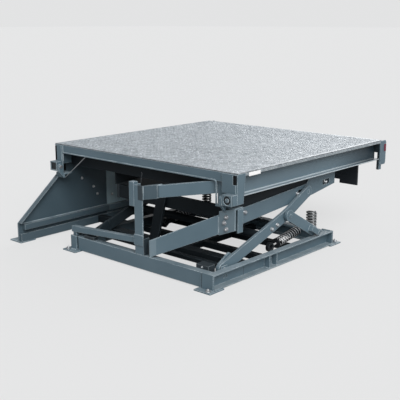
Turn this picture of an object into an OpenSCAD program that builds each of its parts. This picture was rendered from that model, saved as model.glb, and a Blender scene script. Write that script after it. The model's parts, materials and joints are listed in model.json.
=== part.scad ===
// Dock leveler: hinged tread-plate deck with a hanging lip, carried on a floor frame
// with a pair of spring-assisted lift arms and roller struts under the deck.
// All sizes in millimetres, +Z up, +X along the hinge line, +Y towards the lip.

/* [Deck] */
// width of the deck across the hinge line
deck_w = 2000; // [1800:10:2200]
// length of the deck from hinge end to lip end
deck_l = 2000; // [1800:10:2300]
// height of the tread surface above the floor
deck_h = 792; // [700:1:880]
// thickness of the tread plate
plate_t = 8; // [6:1:12]
// depth of the side channels under the tread plate
channel_h = 164; // [140:1:170]
// flange width of the side channels
channel_w = 65; // [50:1:80]
// wall of rolled sections and folded plates
wall = 8; // [6:1:10]
// depth of the header plate at the hinge end
header_h = 67; // [50:1:80]
// bend radius of the rim bar under the header
rim_r = 24; // [16:1:30]

/* [Base] */
// outside width of the floor frame
base_w = 1520; // [1400:10:1650]
// distance from the foot tip to the far end of the floor frame
base_l = 1565; // [1400:5:1750]
// height of the floor frame beams
beam_h = 110; // [90:1:120]
// flange width of the floor frame beams
beam_w = 60; // [50:1:70]
// width of the end plates that close the right floor frame beam
end_w = 104; // [84:1:120]
// width of the end plates that close the left floor frame beam
end_left = 66; // [60:1:120]
// side of the foot plates
foot_w = 150; // [130:1:180]
// thickness of the foot plates
foot_t = 10; // [8:1:16]
// radius of the anchor holes in the foot plates
anchor_r = 9; // [7:0.5:12]

/* [Hinge] */
// height of the tread plate underside above the hinge pin
hinge_drop = 179; // [170:1:190]
// distance of the hinge pin from the foot tip
pin_y = 262; // [250:1:275]
// radius of the hinge pins
pin_r = 14; // [12:0.5:15]
// width of the hinge blocks along the pin
block_w = 85; // [70:1:95]
// depth of the hinge blocks along the deck
block_d = 63; // [58:1:70]
// height of the hinge blocks
block_h = 77; // [70:1:85]
// radius of the round recess in the right hinge block
recess_r = 32; // [24:1:33]
// running clearance between moving faces
gap = 5; // [5:0.5:8]
// radial clearance in pin bores
bore_gap = 0.5; // [0.3:0.1:1]

/* [Linkage] */
// distance of the lift arm pivot from the foot tip
arm_y = 240; // [220:1:260]
// height of the lift arm pivot
arm_z = 106; // [100:1:115]
// distance of the lift pin from the far end of the floor frame
lift_back = 275; // [260:1:290]
// height of the side channels above the lift pin
lift_drop = 130; // [120:1:140]
// distance of the strut pivot from the far end of the floor frame
knee_back = 565; // [550:1:580]
// distance of the strut roller from the far end of the floor frame
roller_back = 206; // [195:1:220]
// depth of the lift arms
arm_h = 84; // [70:1:96]
// thickness of arms, struts and levers
arm_t = 24; // [18:1:28]
// radius of the lift pins
lift_r = 16; // [12:0.5:18]
// radius of the strut rollers
roller_r = 27; // [22:0.5:32]
// gap between roller and floor beam
roller_gap = 3.5; // [2.5:0.5:6]
// length of the slot in the levers
slot_l = 92; // [88:1:110]

/* [Springs] */
// mean radius of the main springs
coil_r = 33; // [26:1:36]
// wire radius of the springs
wire_r = 5; // [4:0.5:6]
// number of coils drawn in a main spring
coils = 15; // [9:1:16]
// length of the eye rod between spring hook and first coil
hook_l = 86; // [70:1:100]
// outside radius of the spring hook
hook_r = 36; // [30:1:38]
// height of the buffer springs
buffer_h = 175; // [140:1:185]
// mean radius of the buffer springs
buffer_r = 37; // [30:1:45]
// wire radius of the buffer springs
buffer_wire = 8; // [5:0.5:9]
// number of coils drawn in a buffer spring
buffer_coils = 5; // [4:1:7]

/* [Lip] */
// width of the lip
lip_w = 1540; // [1400:10:1700]
// length of the lip from its hinge to its edge
lip_l = 420; // [350:5:450]
// thickness of the lip
lip_t = 16; // [12:1:20]
// width of the tabs at both ends of the lip edge
tab_w = 182; // [120:1:260]
// drop of these tabs below the middle of the lip edge
tab_h = 34; // [20:1:60]
// radius of the lip hinge tube
tube_r = 17; // [15:0.5:20]
// reach of the corner cheeks past the deck on each side of the lip
cheek_l = 90; // [60:1:110]

/* [Side frame] */
// rearward reach of the side plate past the foot tip
side_back = 125; // [100:1:150]
// forward reach of the side plate
side_front = 850; // [780:5:900]
// length of the bolted panel in front of the side plate
panel_l = 400; // [340:5:420]
// height of the sloping edge at its low end
side_low = 170; // [140:5:200]
// width of the flat bars that edge the side plate
bar_w = 40; // [30:1:50]
// height of the rail along the side plate
rail_h = 78; // [60:1:90]

/* [Rear frame] */
// offset of the middle post from the right side
post_x = 690; // [640:5:760]
// width of the middle post
mid_w = 85; // [70:1:100]
// depth of the inclined lower beam
lower_h = 125; // [100:1:135]
// depth of the top arm
top_h = 92; // [70:1:95]

/* [Hidden] */
$fn = 48;
foot_out = 16;
foot_left = 46;
foot_back = 50;
foot_front = 100;
end_t = 12;
notch = 14;
base_z = foot_t;
beam_top = foot_t + beam_h;
beam_y0 = foot_back + end_t;
beam_y1 = base_l - end_t;
under = deck_h - plate_t;
pin_z = under - hinge_drop;
channel_z = under - channel_h;
block_y = pin_y - 23;
block_z = pin_z - 37;
block_top = block_z + block_h;
recess_d = 7;
doubler_t = 12;
doubler_w = 131;
left_w = 100;
face_y = block_y + block_d;
deck_y = face_y - doubler_t;
deck_end = face_y + deck_l;
strip_t = 8;
strip_d = 69;
strip_top = 90;
slot_w = 24;
slot_low = under - 73;
slot_high = under - 6;
leg_x = doubler_w + 61;
leg_left = left_w;
leg_z = pin_z - 53;
rim_out = 8;
ear_w = 24;
ear_r = 24;
ear_low = 40;
ear_x = block_w + gap;
seat_t = 12;
seat_z = pin_z - 60;
seat_y1 = face_y + 74;
bracket_w = 154;
bracket_z = seat_z - 217;
upright_x = 135;
upright_w = 66;
upright_y = face_y + 28;
upright_top = under - 70;
leg_t = 10;
leg_y = face_y + 18;
leg_bottom = seat_z - 182;
strut_x = 40;
arm_x = strut_x + arm_t + 8;
lever_x = arm_x + arm_t + 8;
lug_t = 12;
lug_in = arm_x + arm_t + gap;
lift_y = base_l - lift_back;
lift_z = channel_z - lift_drop;
knee_y = base_l - knee_back;
knee_z = arm_z + 0.641 * (lift_z - arm_z);
foot_y = base_l - roller_back;
roller_z = beam_top + roller_gap + roller_r;
knee_r = 15;
boss = 3;
slot_h = 2 * lift_r + 12;
slot_back = slot_l - 8;
slot_d = 16;
lever_y0 = face_y + 168;
lever_y1 = lift_y + 434;
lever_mid = lift_y + 110;
lever_d = 118;
lever_z0 = channel_z - 242;
lever_tip = channel_z - 132;
lever_top = lever_z0 + lever_d;
lever_high = lever_top + 50;
window_l = 104;
window_h = 42;
beam_y = face_y + 108;
beam_d = 16;
stringer_w = 70;
rib_h = 110;
cross_low = 50;
cross_high = 92;
run_w = 40;
cross_w = [40, 87, 48, 55];
spring_x = 190;
spring_y0 = base_l - 616;
spring_z0 = foot_t + 75;
spring_tilt = atan2(foot_y - spring_y0, roller_z - spring_z0);
spring_l = norm([foot_y - spring_y0, roller_z - spring_z0]);
disc_t = 6;
stub_d = 20;
hook_t = 30;
cross_y = [arm_y + 65, lever_y0 - 30, spring_y0 - 159, foot_y - 199];
seat_gap = 0.3;
shaft_r = 12;
fork_w = 44;
fork_t = 8;
fork_out = 36;
buffer_x = 181;
buffer_y = base_l - 53;
tie_t = 30;
tie_h = 106;
prop_w = 94;
prop_t = 22;
prop_lean = 118;
hinge_lip_y = deck_end + tube_r + gap;
hinge_lip_z = deck_h - tube_r - 4;
lip_x0 = (deck_w - lip_w) / 2;
lip_segments = 7;
side_t = 10;
apex_y = face_y + 4;
side_step = face_y + 82;
side_top = channel_z - 8;
ledge_z = 0.88 * side_low;
ledge_h = 48;
rail_w = 26;
mid_y0 = foot_back + 10;
mid_h = pin_z + 40;
top_d = 50;
x_min = -deck_w - 116;
x_max = foot_out;
y_min = -side_back;
y_max = deck_end + cheek_l;
mid_x = (x_min + x_max) / 2;
mid_y = (y_min + y_max) / 2;
steel = [0.36, 0.42, 0.46];
dark = [0.14, 0.17, 0.19];
tread = [0.62, 0.65, 0.68];
black = [0.07, 0.07, 0.08];
bright = [0.5, 0.5, 0.52];

module slab(x0, x1, y0, y1, z0, z1) {
  translate([x0, y0, z0]) cube([x1 - x0, y1 - y0, z1 - z0]);
}

module side_on(x0, x1) {
  translate([x0, 0, 0]) rotate([90, 0, 90]) linear_extrude(x1 - x0) children();
}

module end_on(y0, y1) {
  translate([0, y1, 0]) rotate([90, 0, 0]) linear_extrude(y1 - y0) children();
}

module rod_x(x0, x1, y, z, r) {
  translate([x0, y, z]) rotate([0, 90, 0]) cylinder(r = r, h = x1 - x0);
}

module both_sides(w) {
  children();
  other_side(w) children();
}

module other_side(w) {
  translate([-w, 0, 0]) mirror([1, 0, 0]) children();
}

module frame() {
  translate([-mid_x, -mid_y, 0]) children();
}

// deck

module deck_plate() {
  color(tread) frame() slab(-deck_w, 0, face_y, deck_end, under, deck_h);
}

module corner_slot(low) {
  slab(-strip_t - slot_w, -strip_t + 1, deck_y - 1, face_y + wall + 1, low, slot_high);
}

module rim_leg(x) {
  translate([-x, leg_z]) square([wall, under - header_h + wall - rim_r - leg_z]);
  translate([-x - rim_r + wall, under - header_h + wall - rim_r]) intersection() {
    difference() {
      circle(rim_r);
      circle(rim_r - wall);
    }
    square(rim_r);
  }
}

module rim() {
  z = under - header_h;
  end_on(face_y - rim_out, face_y) {
    translate([-deck_w + leg_left + rim_r - wall, z])
      square([deck_w - leg_left - leg_x - 2 * (rim_r - wall), wall]);
    rim_leg(leg_x);
    other_side(deck_w) rim_leg(leg_left);
  }
}

module rear_header() {
  color(steel) frame() {
    difference() {
      slab(-deck_w + strip_t, -strip_t, face_y, face_y + wall, under - header_h, under);
      corner_slot(slot_low);
      other_side(deck_w) corner_slot(block_top);
    }
    rim();
  }
}

module corner_plates() {
  color(steel) frame() {
    difference() {
      slab(-doubler_w, -strip_t, deck_y, face_y, block_top, under);
      corner_slot(slot_low);
    }
    other_side(deck_w) difference() {
      slab(-left_w + wall, -strip_t, deck_y, face_y, block_top, under);
      corner_slot(block_top + 4);
    }
  }
}

module corner_strips() {
  color(steel) frame() both_sides(deck_w) side_on(-strip_t, 0)
    polygon([[face_y, block_z], [face_y + strip_d, block_z], [face_y + strip_top, under], [face_y, under]]);
}

module block_body() {
  difference() {
    slab(-block_w, 0, block_y, face_y, block_z, block_top);
    rod_x(-block_w - 1, -block_w / 4, pin_y, pin_z, pin_r);
    children();
  }
}

module hinge_blocks() {
  z = (block_z + block_top) / 2;
  color(steel) frame() {
    block_body() end_on(block_y - 1, block_y + recess_d) translate([-block_w / 2, z]) difference() {
      circle(recess_r);
      circle(recess_r / 2);
    }
    other_side(deck_w) block_body()
      slab(-block_w + wall, -wall, block_y - 1, block_y + recess_d, block_z + wall, block_top - wall);
  }
}

module hinge_pins() {
  color(bright) frame() both_sides(deck_w) rod_x(-ear_x - ear_w - 4, -block_w / 4, pin_y, pin_z, pin_r);
}

module channel() {
  x = -strip_t - channel_w;
  difference() {
    slab(x, -strip_t, face_y + wall, deck_end - wall, channel_z, under);
    slab(x + wall, 1 - strip_t, face_y, deck_end, channel_z + wall, under - wall);
  }
}

module right_channel() {
  color(steel) frame() channel();
}

module left_channel() {
  color(steel) frame() other_side(deck_w) channel();
}

module front_header() {
  inset = strip_t + channel_w;
  color(steel) frame() slab(-deck_w + inset, -inset, deck_end - wall, deck_end, channel_z, under);
}

module rear_cross_beam() {
  inset = strip_t + channel_w;
  color(dark) frame() side_on(-deck_w + inset, -inset) {
    translate([beam_y, channel_z - beam_d]) square([wall, channel_h + beam_d]);
    translate([beam_y, channel_z - beam_d]) square([wall + beam_d, wall]);
  }
}

module rib(x) {
  slab(-x - wall / 2, -x + wall / 2, beam_y + wall, deck_end - wall, under - rib_h, under);
}

module deck_ribs() {
  near = lever_x + arm_t / 2;
  far = base_w - near;
  color(dark) frame() {
    for (k = [1 : 3]) rib(near + k * (far - near) / 4);
    rib((far + deck_w) / 2);
  }
}

module lever_stringers() {
  mid = lever_x + arm_t / 2;
  y0 = beam_y + wall;
  y1 = deck_end - wall;
  color(dark) frame() both_sides(base_w) {
    side_on(-mid - wall / 2, -mid + wall / 2)
      polygon([[y0, under], [y1, under], [y1, channel_z], [lever_mid - 20, channel_z],
        [lever_mid - 90, lever_high], [lever_y0, lever_top], [lever_y0 - 30, lever_top],
        [lever_y0 - 30, channel_z], [y0, channel_z]]);
    slab(-mid - stringer_w / 2, -mid + stringer_w / 2, y0, y1, channel_z, channel_z + wall);
  }
}

module lever_shape() {
  polygon([[lever_y0, lever_z0], [lever_y0, lever_top], [lever_mid - 90, lever_high],
    [lever_mid - 20, channel_z], [lever_y1, channel_z], [lever_y1, lever_tip],
    [lever_mid, lever_tip - 44], [lever_mid - 290, lever_z0 + 44]]);
}

module lever_grooves() {
  translate([lift_y - slot_back, lift_z - slot_h / 2]) square([slot_l, slot_h]);
  translate([lift_y - slot_back, lift_z]) circle(slot_h / 2);
  translate([lift_y - slot_back + slot_l, lift_z]) circle(slot_h / 2);
  translate([lever_y1 - 1.75 * window_l, lever_tip + window_h / 4]) square([window_l, window_h]);
}

module levers() {
  color(steel) frame() both_sides(base_w) difference() {
    side_on(-lever_x - arm_t, -lever_x) lever_shape();
    side_on(-lever_x - slot_d, -lever_x + 1) lever_grooves();
  }
}

module lever_beam() {
  inset = lever_x + arm_t;
  y0 = lever_y0 + 4;
  z0 = lever_z0 + 4;
  color(dark) frame() slab(-base_w + inset, -inset, y0, y0 + tie_t, z0, z0 + tie_h);
}

module end_plates() {
  inset = strip_t + channel_w;
  window = 0.5 * channel_w;
  color(steel) frame() both_sides(deck_w) {
    difference() {
      slab(-inset, 0, deck_end - wall, deck_end, channel_z, under);
      slab(-inset + 1.5 * wall, -inset + 1.5 * wall + window, deck_end - 2 * wall, deck_end + 1,
        channel_z + wall, channel_z + wall + 1.6 * window);
    }
    side_on(-strip_t, 0)
      polygon([[deck_end, channel_z - 48], [y_max - 10, channel_z - 48], [y_max, channel_z - 28],
        [y_max, under - 20], [y_max - 14, under], [deck_end, under]]);
    slab(-4 * strip_t, -strip_t, deck_end - wall, deck_end + 4 * wall, channel_z - 92,
      channel_z + wall);
  }
}

module lip_bays(odd) {
  pitch = lip_w / lip_segments;
  for (k = [odd : 2 : lip_segments - 1]) translate([-lip_x0 - pitch * (k + 1), 0, 0]) children();
}

module lip_lugs() {
  pitch = lip_w / lip_segments;
  color(steel) frame() lip_bays(1) side_on(gap, pitch - gap) difference() {
    union() {
      translate([hinge_lip_y, hinge_lip_z]) circle(tube_r);
      translate([deck_end, hinge_lip_z - tube_r]) square([hinge_lip_y - deck_end, 2 * tube_r]);
    }
    translate([hinge_lip_y, hinge_lip_z]) circle(tube_r / 2 + bore_gap);
  }
}

module lip_plate() {
  x0 = -lip_x0 - lip_w;
  x1 = -lip_x0;
  top = hinge_lip_z - tube_r - gap;
  low = hinge_lip_z - lip_l;
  color(black) frame() end_on(hinge_lip_y - lip_t / 2, hinge_lip_y + lip_t / 2)
    polygon([[x0, top], [x1, top], [x1, low], [x1 - tab_w, low], [x1 - tab_w, low + tab_h],
      [x0 + tab_w, low + tab_h], [x0 + tab_w, low], [x0, low]]);
}

module lip_tubes() {
  pitch = lip_w / lip_segments;
  color(dark) frame() {
    lip_bays(0) side_on(0, pitch) difference() {
      union() {
        translate([hinge_lip_y, hinge_lip_z]) circle(tube_r);
        translate([hinge_lip_y - lip_t / 2, hinge_lip_z - tube_r - gap]) square([lip_t, tube_r + gap]);
      }
      translate([hinge_lip_y, hinge_lip_z]) circle(tube_r / 2);
    }
  }
}

module lip_pin() {
  color(bright) frame() rod_x(-lip_x0 - lip_w, -lip_x0, hinge_lip_y, hinge_lip_z, tube_r / 2);
}

// lift arms and struts

module bar(p, q, w) {
  run = norm(q - p);
  translate(p) rotate(atan2(q[1] - p[1], q[0] - p[0])) translate([0, -w / 2]) square([run, w]);
}

module lift_arms() {
  a = [arm_y, arm_z];
  k = [knee_y, knee_z];
  d = [lift_y, lift_z];
  color(steel) frame() both_sides(base_w) side_on(-arm_x - arm_t, -arm_x) difference() {
    union() {
      bar(a, k, arm_h);
      bar(k, d, arm_h);
      for (p = [a, k, d]) translate(p) circle(arm_h / 2 + boss);
    }
    translate(a) circle(pin_r + 4 + bore_gap);
    translate(k) circle(knee_r);
    translate(d) circle(lift_r);
  }
}

module lift_tube() {
  inset = arm_x + arm_t;
  t = 0.6;
  y = arm_y + t * (knee_y - arm_y);
  z = arm_z + t * (knee_z - arm_z);
  color(dark) frame() rod_x(-base_w + inset, -inset, y, z, 0.36 * arm_h);
}

module lift_pins() {
  color(bright) frame() both_sides(base_w) {
    rod_x(-lever_x - slot_d + gap, -arm_x, lift_y, lift_z, lift_r);
    rod_x(-arm_x - arm_t, -strut_x + 6, knee_y, knee_z, knee_r);
  }
}

module struts() {
  c = [knee_y, knee_z];
  b = [foot_y, roller_z];
  color(steel) frame() both_sides(base_w) {
    side_on(-strut_x - arm_t, -strut_x) difference() {
      union() {
        bar(c, b, arm_h - 4);
        translate(c) circle(arm_h / 2 + boss);
        translate(b) circle(roller_r - 7);
      }
      translate(c) circle(knee_r + bore_gap);
      translate(b) circle(shaft_r);
      translate([c[0], 0]) square([2 * (b[0] - c[0]), roller_z - roller_r + 5]);
    }
    strut_fork(b, (c - b) / norm(c - b));
  }
}

module strut_fork(b, u) {
  near = b + (roller_r + 2 * gap) * u;
  far = b + 4 * roller_r * u;
  side_on(-strut_x + fork_out - fork_t, -strut_x + fork_out) difference() {
    union() {
      translate(b) circle(fork_w / 2 - 2);
      bar(b, far, fork_w);
    }
    translate(b) circle(shaft_r);
  }
  side_on(-strut_x, -strut_x + fork_out) bar(near, far, fork_w);
}

module strut_shaft() {
  end = strut_x - fork_out - 2;
  color(bright) frame() rod_x(-base_w + end, -end, foot_y, roller_z, shaft_r);
}

module strut_rollers() {
  color(black) frame() both_sides(base_w) side_on(-strut_x + 4, -strut_x + 26) difference() {
    translate([foot_y, roller_z]) circle(roller_r);
    translate([foot_y, roller_z]) circle(shaft_r);
  }
}

// floor frame

module web_slots() {
  for (k = [0, 1]) slab(-beam_w - 1, -beam_w + wall + 1, arm_y - 16 + 28 * k, arm_y - 8 + 28 * k,
    base_z + 0.34 * beam_h, base_z + 0.58 * beam_h);
}

module base_beam() {
  difference() {
    slab(-beam_w, 0, beam_y0, beam_y1, base_z, beam_top);
    slab(-beam_w + wall, 1, beam_y0 - 1, beam_y1 + 1, base_z + wall, beam_top - wall);
  }
  slab(-beam_w, 6, beam_y0, beam_y1, base_z, base_z + wall);
  for (t = [0.445, 0.502])
    slab(-beam_w + wall, -2, t * base_l, t * base_l + wall, base_z + wall, beam_top - wall);
}

module base_right_beam() {
  color(steel) frame() difference() {
    base_beam();
    web_slots();
  }
}

module base_left_beam() {
  color(steel) frame() other_side(base_w) base_beam();
}

module cross_channel(y0) {
  slab(-base_w + end_left + notch, -end_w - notch, y0, y0 + wall, base_z, beam_top);
  slab(-base_w + beam_w, -beam_w, y0 + wall, y0 + beam_w, base_z, base_z + wall);
  slab(-base_w + beam_w, -beam_w, y0 + wall, y0 + beam_w, beam_top - wall, beam_top);
}

module base_rear_beam() {
  color(steel) frame() cross_channel(mid_y0);
}

module base_front_beam() {
  color(steel) frame() translate([0, base_l + foot_back, 0]) mirror([0, 1, 0]) cross_channel(mid_y0);
}

module end_pair(w) {
  for (y = [foot_back, beam_y1]) slab(-w, 0, y, y + end_t, base_z, beam_top + 4);
}

module base_end_plates() {
  color(steel) frame() {
    end_pair(end_w);
    other_side(base_w) end_pair(end_left);
  }
}

module foot(out) {
  difference() {
    slab(out - foot_w, out, 0, foot_w, 0, foot_t);
    translate([out - 40, foot_w / 6, -1]) cylinder(r = anchor_r, h = foot_t + 2);
  }
}

module foot_pair(out) {
  foot(out);
  translate([0, base_l + foot_front, 0]) mirror([0, 1, 0]) foot(out);
}

module foot_plates() {
  color(steel) frame() {
    foot_pair(foot_out);
    other_side(base_w) foot_pair(foot_left);
  }
}

module cross_pan(k, inset, z0, z1) {
  side_on(-base_w + inset, -inset) translate([cross_y[k], z0]) difference() {
    square([cross_w[k], z1 - z0]);
    translate([wall, -1]) square([cross_w[k] - 2 * wall, z1 - z0 - wall + 1]);
  }
}

module cross_members() {
  color(dark) frame() {
    cross_pan(0, lug_in + lug_t, base_z + cross_high - 30, base_z + cross_high);
    cross_pan(1, beam_w, base_z, base_z + cross_high);
    cross_pan(2, beam_w, base_z, base_z + cross_low);
    cross_pan(3, beam_w, base_z, base_z + cross_low);
  }
}

module center_tie() {
  ends = [cross_y[2], cross_y[3], base_l + foot_back - mid_y0 - beam_w];
  color(dark) frame() for (k = [0 : 2]) end_on(cross_y[k + 1] + cross_w[k + 1], ends[k])
    translate([-base_w / 2 - run_w / 2 - 5, base_z]) difference() {
      square([run_w, cross_low]);
      translate([wall, -1]) square([run_w - 2 * wall, cross_low - wall + 1]);
    }
}

module outriggers() {
  color(dark) frame() for (t = [0.46, 0.715])
    slab(-deck_w + side_t + rail_w, -base_w + beam_w - wall, t * base_l, t * base_l + beam_w,
      base_z + wall, rail_h);
}

// rear frame

module middle_post() {
  x0 = -post_x - mid_w;
  color(steel) frame() {
    slab(x0, -post_x, mid_y0, mid_y0 + wall, beam_top, mid_h);
    slab(x0, x0 + wall, mid_y0 + wall, mid_y0 + beam_w, beam_top, mid_h);
    slab(x0 - 6, -post_x + 6, mid_y0 - 6, mid_y0, beam_top + 70, beam_top + 150);
    slab(-post_x, -post_x + wall, mid_y0, mid_y0 + beam_w, beam_top, beam_top + lower_h);
  }
}

module post_box() {
  x1 = -post_x - mid_w;
  color(steel) frame() slab(x1 - beam_w + 10, x1, mid_y0 - 4, mid_y0 + 40, mid_h - 165, mid_h + 18);
}

module arm_section(x, y, top, grow) {
  slab(x, x + 1, y - grow, y + top_d, top - top_h - grow, top + grow);
}

module top_arm() {
  right = -upright_x - upright_w;
  rise = upright_top - mid_h + 6;
  share = 0.2;
  color(steel) frame() {
    hull() {
      arm_section(-post_x, mid_y0 + wall, mid_h - 6, 0);
      arm_section(right - 1, upright_y - 4, upright_top, 0);
    }
    hull() {
      arm_section(-post_x, mid_y0 + wall, mid_h - 6, 5);
      arm_section(-post_x + share * (right + post_x), mid_y0 + wall + share * (upright_y - mid_y0 - 12),
        mid_h - 6 + share * rise, 5);
    }
  }
}

module lower_beam() {
  color(steel) frame() hull() {
    slab(-post_x + 56, -post_x + 69, mid_y0 + 4, mid_y0 + beam_w - 6, beam_top, beam_top + lower_h);
    slab(-bracket_w - 1, -bracket_w, deck_y - 8, deck_y + 42, bracket_z + 8, bracket_z + lower_h + 26);
  }
}

module hinge_bracket() {
  side = deck_w - side_t;
  color(steel) frame() end_on(deck_y, face_y) {
    polygon([[-bracket_w, bracket_z], [-leg_t, bracket_z + 58], [-leg_t, seat_z],
      [-bracket_w, seat_z - ear_low]]);
    translate([-side, seat_z - ear_low]) square([ear_x + ear_w - side_t, ear_low]);
  }
}

module hinge_leg() {
  color(steel) frame() {
    slab(-leg_t - 6, -6, leg_y, leg_y + 56, leg_bottom, seat_z - seat_t);
    slab(-beam_w - 6, -leg_t - 6, leg_y + 56 - leg_t, leg_y + 56, leg_bottom, seat_z - seat_t);
  }
}

module hinge_upright() {
  color(steel) frame() translate([-upright_x - upright_w, upright_y, seat_z]) difference() {
    cube([upright_w, seat_y1 - upright_y, upright_top - seat_z]);
    translate([6, 6, 6]) cube([upright_w - 12, seat_y1 - upright_y - 12, upright_top - seat_z]);
  }
}

module hinge_seats() {
  color(steel) frame() {
    slab(-upright_x - upright_w, -6, face_y, seat_y1, seat_z - seat_t, seat_z);
    slab(-deck_w + side_t, -deck_w + ear_x + ear_w, face_y, seat_y1, seat_z - seat_t, seat_z);
  }
}

module hinge_ears() {
  w = ear_r - 3;
  color(steel) frame() both_sides(deck_w) side_on(-ear_x - ear_w, -ear_x) difference() {
    union() {
      translate([pin_y, pin_z]) circle(ear_r);
      polygon([[pin_y - w, pin_z], [pin_y + w, pin_z], [deck_y, seat_z], [deck_y, seat_z - ear_low],
        [pin_y - w, pin_z - 40]]);
    }
    translate([pin_y, pin_z]) circle(pin_r + bore_gap);
  }
}

// side frame

module side_plate() {
  apex_z = seat_z - seat_t;
  color(steel) frame() side_on(-deck_w, -deck_w + side_t)
    polygon([[-side_back, foot_t], [-side_back, side_low], [apex_y, apex_z], [side_step, apex_z],
      [side_step, side_top], [side_front, side_top], [side_front, foot_t]]);
}

module side_bars() {
  slope = atan2(seat_z - seat_t - side_low, apex_y + side_back);
  run = (deck_y - 8 + side_back) / cos(slope);
  x0 = -deck_w + side_t;
  color(steel) frame() {
    translate([x0, -side_back, side_low]) rotate([slope, 0, 0]) translate([0, 4, -wall])
      cube([bar_w, run - 8, wall]);
    slab(x0, x0 + bar_w, -side_back + bar_w, side_front, ledge_z + wall - ledge_h, ledge_z + wall);
  }
}

module side_rail() {
  x0 = -deck_w + side_t;
  y0 = -side_back + 10;
  color(steel) frame() difference() {
    slab(x0, x0 + rail_w, y0, side_front + panel_l + 6, foot_t, rail_h);
    slab(x0 + wall, x0 + rail_w - wall, y0 + wall, side_front + panel_l + 7, 0, rail_h - wall);
  }
}

module side_panel() {
  x0 = -deck_w + side_t;
  y1 = side_front + panel_l;
  seam = side_front + 0.405 * panel_l;
  color(steel) frame() {
    slab(x0, x0 + wall, side_front, y1, rail_h, side_top - 14);
    slab(x0 + wall, x0 + 2 * wall, seam - wall, seam + wall, ledge_z, side_top - 14);
    slab(x0 + wall, x0 + bar_w, side_front, y1, ledge_z + wall - ledge_h, ledge_z + wall);
  }
}

module side_feet() {
  color(steel) frame() for (y = [-side_back, side_front + 200]) difference() {
    slab(x_min, -deck_w + side_t + rail_w, y, y + foot_w, 0, foot_t);
    translate([x_min + foot_w / 3, y + foot_w / 2, -1]) cylinder(r = anchor_r, h = foot_t + 2);
  }
}

module rear_rail() {
  y0 = mid_y0 + 10;
  x0 = -base_w - 10;
  color(steel) frame() {
    hull() {
      slab(x0, x0 + 1, y0, y0 + bar_w, beam_top + 26, beam_top + 74);
      slab(-post_x - mid_w - 1, -post_x - mid_w, y0, y0 + bar_w, beam_top + 80, beam_top + 122);
    }
    slab(x0 + 14, x0 + 14 + bar_w, y0 + 4, y0 + bar_w - 4, beam_top, beam_top + 40);
  }
}

module control_boxes() {
  box_l = 114;
  x0 = -base_w + 2 * end_w - 60;
  color(black) frame() {
    slab(x0, x0 + box_l, mid_y0 + 8, mid_y0 + beam_w - 8, beam_top, beam_top + 24);
    slab(-end_w - box_l, -end_w, mid_y0 + beam_w, arm_y - 50, base_z + 8, beam_top + 28);
  }
}

module lug_bore() {
  translate([arm_y, arm_z]) circle(pin_r + 4);
}

module arm_lugs() {
  low = base_z + 20;
  color(steel) frame() both_sides(base_w) {
    side_on(-arm_x + gap, -beam_w) difference() {
      translate([arm_y - 34, low]) square([68, arm_z + 30 - low]);
      lug_bore();
    }
    side_on(-lug_in - lug_t, -lug_in) difference() {
      polygon([[arm_y - 34, low], [arm_y + 105, low], [arm_y + 105, arm_z + 10], [arm_y + 135, arm_z + 76],
        [arm_y + 98, arm_z + 98], [arm_y - 10, arm_z + 38], [arm_y - 34, arm_z + 14]]);
      lug_bore();
    }
  }
}

module arm_pins() {
  color(bright) frame() both_sides(base_w) rod_x(-lug_in - lug_t, -beam_w, arm_y, arm_z, pin_r + 4);
}

module spring_anchors() {
  back = spring_y0 - stub_d / 2;
  color(black) frame() both_sides(base_w) {
    side_on(-spring_x - hook_t / 2, -spring_x + hook_t / 2) translate([spring_y0, spring_z0]) difference() {
      circle(hook_r);
      circle(hook_r - hook_t / 2);
    }
    along_spring() {
      translate([0, 0, hook_r - 6]) cylinder(r = wire_r + 2, h = hook_l - hook_r + 6 + disc_t);
      translate([0, 0, hook_l]) cylinder(r = coil_r + wire_r + 1, h = disc_t);
    }
    slab(-spring_x - 8, -beam_w, back, back + stub_d, spring_z0 - hook_r - 12, spring_z0 - hook_r + 8);
  }
}

module coil(r, w, h, n) {
  turn = 360 * n / (h - 2 * w);
  ring = [for (t = [0 : 60 : 300]) (r + w * cos(t)) * [cos(turn * w * sin(t)), sin(turn * w * sin(t))]];
  translate([0, 0, w]) linear_extrude(h - 2 * w, twist = -360 * n, slices = 12 * n, $fn = 6) polygon(ring);
}

module along_spring() {
  translate([-spring_x, spring_y0, spring_z0]) rotate([-spring_tilt, 0, 0]) children();
}

module main_springs() {
  color(black) frame() both_sides(base_w) along_spring()
    translate([0, 0, hook_l + disc_t - wire_r + seat_gap])
      coil(coil_r, wire_r, spring_l - hook_l - disc_t - shaft_r, coils);
}

module buffer_springs() {
  color(black) frame() both_sides(base_w)
    translate([-buffer_x, buffer_y, beam_top + seat_gap - buffer_wire])
      coil(buffer_r, buffer_wire, buffer_h, buffer_coils);
}

module prop_bar() {
  x0 = -0.672 * base_w;
  x1 = x0 + prop_lean;
  y0 = cross_y[1] + gap;
  z0 = base_z + cross_high;
  z1 = channel_z - 60;
  color(dark) frame() end_on(y0, y0 + prop_t)
    polygon([[x0, z0], [x0 + prop_w, z0], [x1 + prop_w, z1], [x1, z1]]);
}

deck_plate();
rear_header();
corner_plates();
corner_strips();
hinge_blocks();
hinge_pins();
right_channel();
left_channel();
front_header();
rear_cross_beam();
deck_ribs();
lever_stringers();
levers();
lever_beam();
end_plates();
lip_lugs();
lip_plate();
lip_tubes();
lip_pin();
lift_arms();
lift_tube();
lift_pins();
struts();
strut_shaft();
strut_rollers();
base_right_beam();
base_left_beam();
base_rear_beam();
base_front_beam();
base_end_plates();
foot_plates();
cross_members();
center_tie();
outriggers();
middle_post();
post_box();
top_arm();
lower_beam();
hinge_bracket();
hinge_leg();
hinge_upright();
hinge_seats();
hinge_ears();
side_plate();
side_bars();
side_rail();
side_panel();
side_feet();
rear_rail();
control_boxes();
arm_lugs();
arm_pins();
spring_anchors();
main_springs();
buffer_springs();
prop_bar();
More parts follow.
